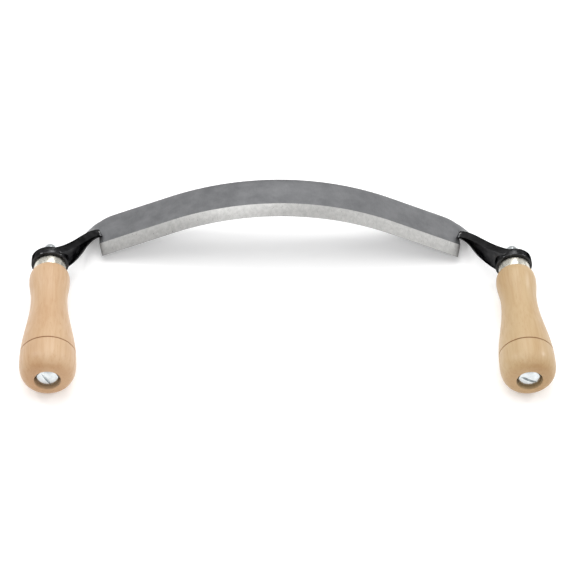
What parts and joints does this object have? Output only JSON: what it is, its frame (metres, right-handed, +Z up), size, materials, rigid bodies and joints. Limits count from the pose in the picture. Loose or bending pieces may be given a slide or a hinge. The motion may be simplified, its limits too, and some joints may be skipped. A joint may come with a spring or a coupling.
{
  "type": "drawknife",
  "caption": "Drawknife with an arched single-bevel blade, twisted black arms ending in eyes, and turned wooden handles bolted through",
  "frame": {"origin": "Bottom centre of the bounding box: under the middle of the tool as it rests on a bench on its handle bellies and the back corners of the blade", "axes": "+X along the blade from the left handle to the right, +Y from the handles towards the blade, +Z up"},
  "size_m": [0.342, 0.1578, 0.0425],
  "materials": {
    "blade_steel": "satin",
    "handle_wood": "satin",
    "ferrule_plate": "satin",
    "zinc": "gloss"
  },
  "bodies": {
    "root": {"blade": "blade_steel", "left_ferrule": "ferrule_plate", "right_ferrule": "ferrule_plate", "left_handle": "handle_wood", "right_handle": "handle_wood", "left_washer": "zinc", "right_washer": "zinc", "left_bolt": "zinc", "right_bolt": "zinc", "left_cap_nut": "zinc", "right_cap_nut": "zinc"}
  },
  "joints": []
}
